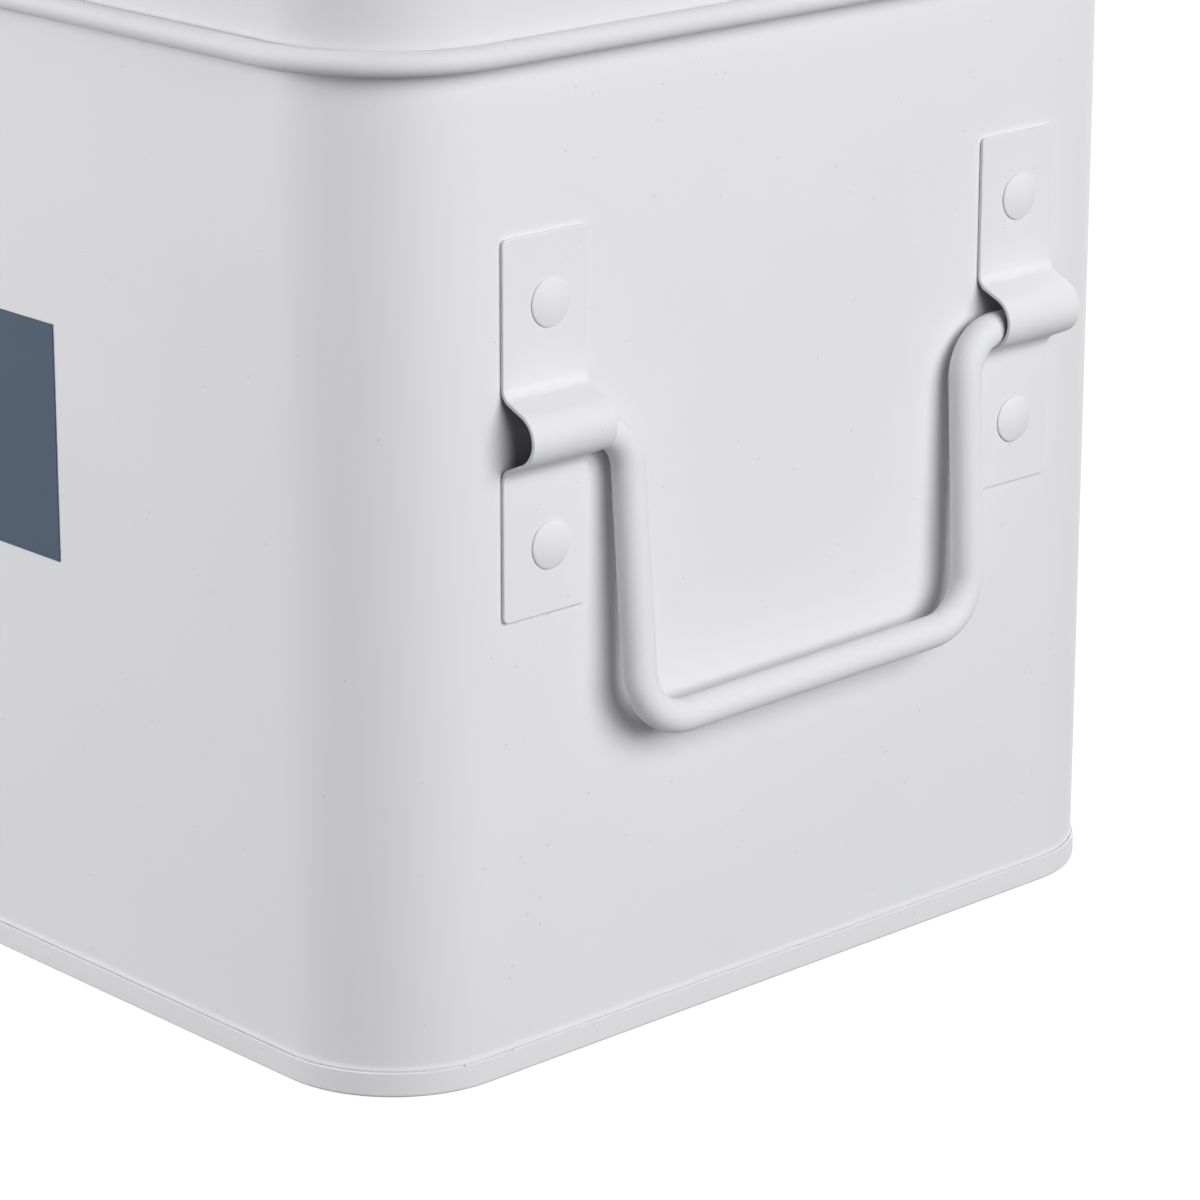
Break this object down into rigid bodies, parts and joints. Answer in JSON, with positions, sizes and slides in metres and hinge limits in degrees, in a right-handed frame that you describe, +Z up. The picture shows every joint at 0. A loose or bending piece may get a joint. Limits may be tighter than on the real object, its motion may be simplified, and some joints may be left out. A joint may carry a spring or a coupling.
{
  "type": "medicine box",
  "caption": "White sheet-steel medicine box with rounded corners, lift-off lid with a rolled bead, printed cross, swinging wire side handles and a lift-out divided tray.",
  "frame": {"origin": "middle of the base's outline on the floor", "axes": "+Z up, -Y towards the front with the cross, +X towards the right-hand handle as seen from the front"},
  "size_m": [0.3412, 0.2048, 0.208],
  "materials": {
    "white_powder_coat": "cool white powder coat on sheet steel, satin, with a very fine grain",
    "slate_blue_print": "slate blue print, satin"
  },
  "bodies": {
    "box": {"body_shell": "white_powder_coat", "base_panel": "white_powder_coat", "front_cross": "slate_blue_print", "strap_right_front": "white_powder_coat", "strap_right_rear": "white_powder_coat", "strap_left_front": "white_powder_coat", "strap_left_rear": "white_powder_coat", "rivet_right_front_lower": "white_powder_coat", "rivet_right_front_upper": "white_powder_coat", "rivet_right_rear_lower": "white_powder_coat", "rivet_right_rear_upper": "white_powder_coat", "rivet_left_front_lower": "white_powder_coat", "rivet_left_front_upper": "white_powder_coat", "rivet_left_rear_lower": "white_powder_coat", "rivet_left_rear_upper": "white_powder_coat"},
    "lid": {"lid": "white_powder_coat"},
    "tray": {"tray": "white_powder_coat", "tray_divider_long": "white_powder_coat", "tray_divider_right": "white_powder_coat", "tray_divider_left": "white_powder_coat"},
    "right_handle": {"handle_right": "white_powder_coat"},
    "left_handle": {"handle_left": "white_powder_coat"}
  },
  "joints": [
    {"name": "lid_lift", "type": "slide", "parent": "box", "child": "lid", "axis": [0, 0, 1], "range_m": [0, 0.28]},
    {"name": "tray_lift", "type": "slide", "parent": "box", "child": "tray", "axis": [0, 0, 1], "range_m": [0, 0.14]},
    {"name": "right_handle_swing", "type": "hinge", "parent": "box", "child": "right_handle", "pos_m": [0.1639, 0, 0.117], "axis": [0, -1, 0], "range_deg": [0, 175]},
    {"name": "left_handle_swing", "type": "hinge", "parent": "box", "child": "left_handle", "pos_m": [-0.1639, 0, 0.117], "axis": [0, 1, 0], "range_deg": [0, 175]}
  ],
  "couplings": [
    {"joint": "tray_lift", "follows": "lid_lift", "ratio": 0.5}
  ]
}
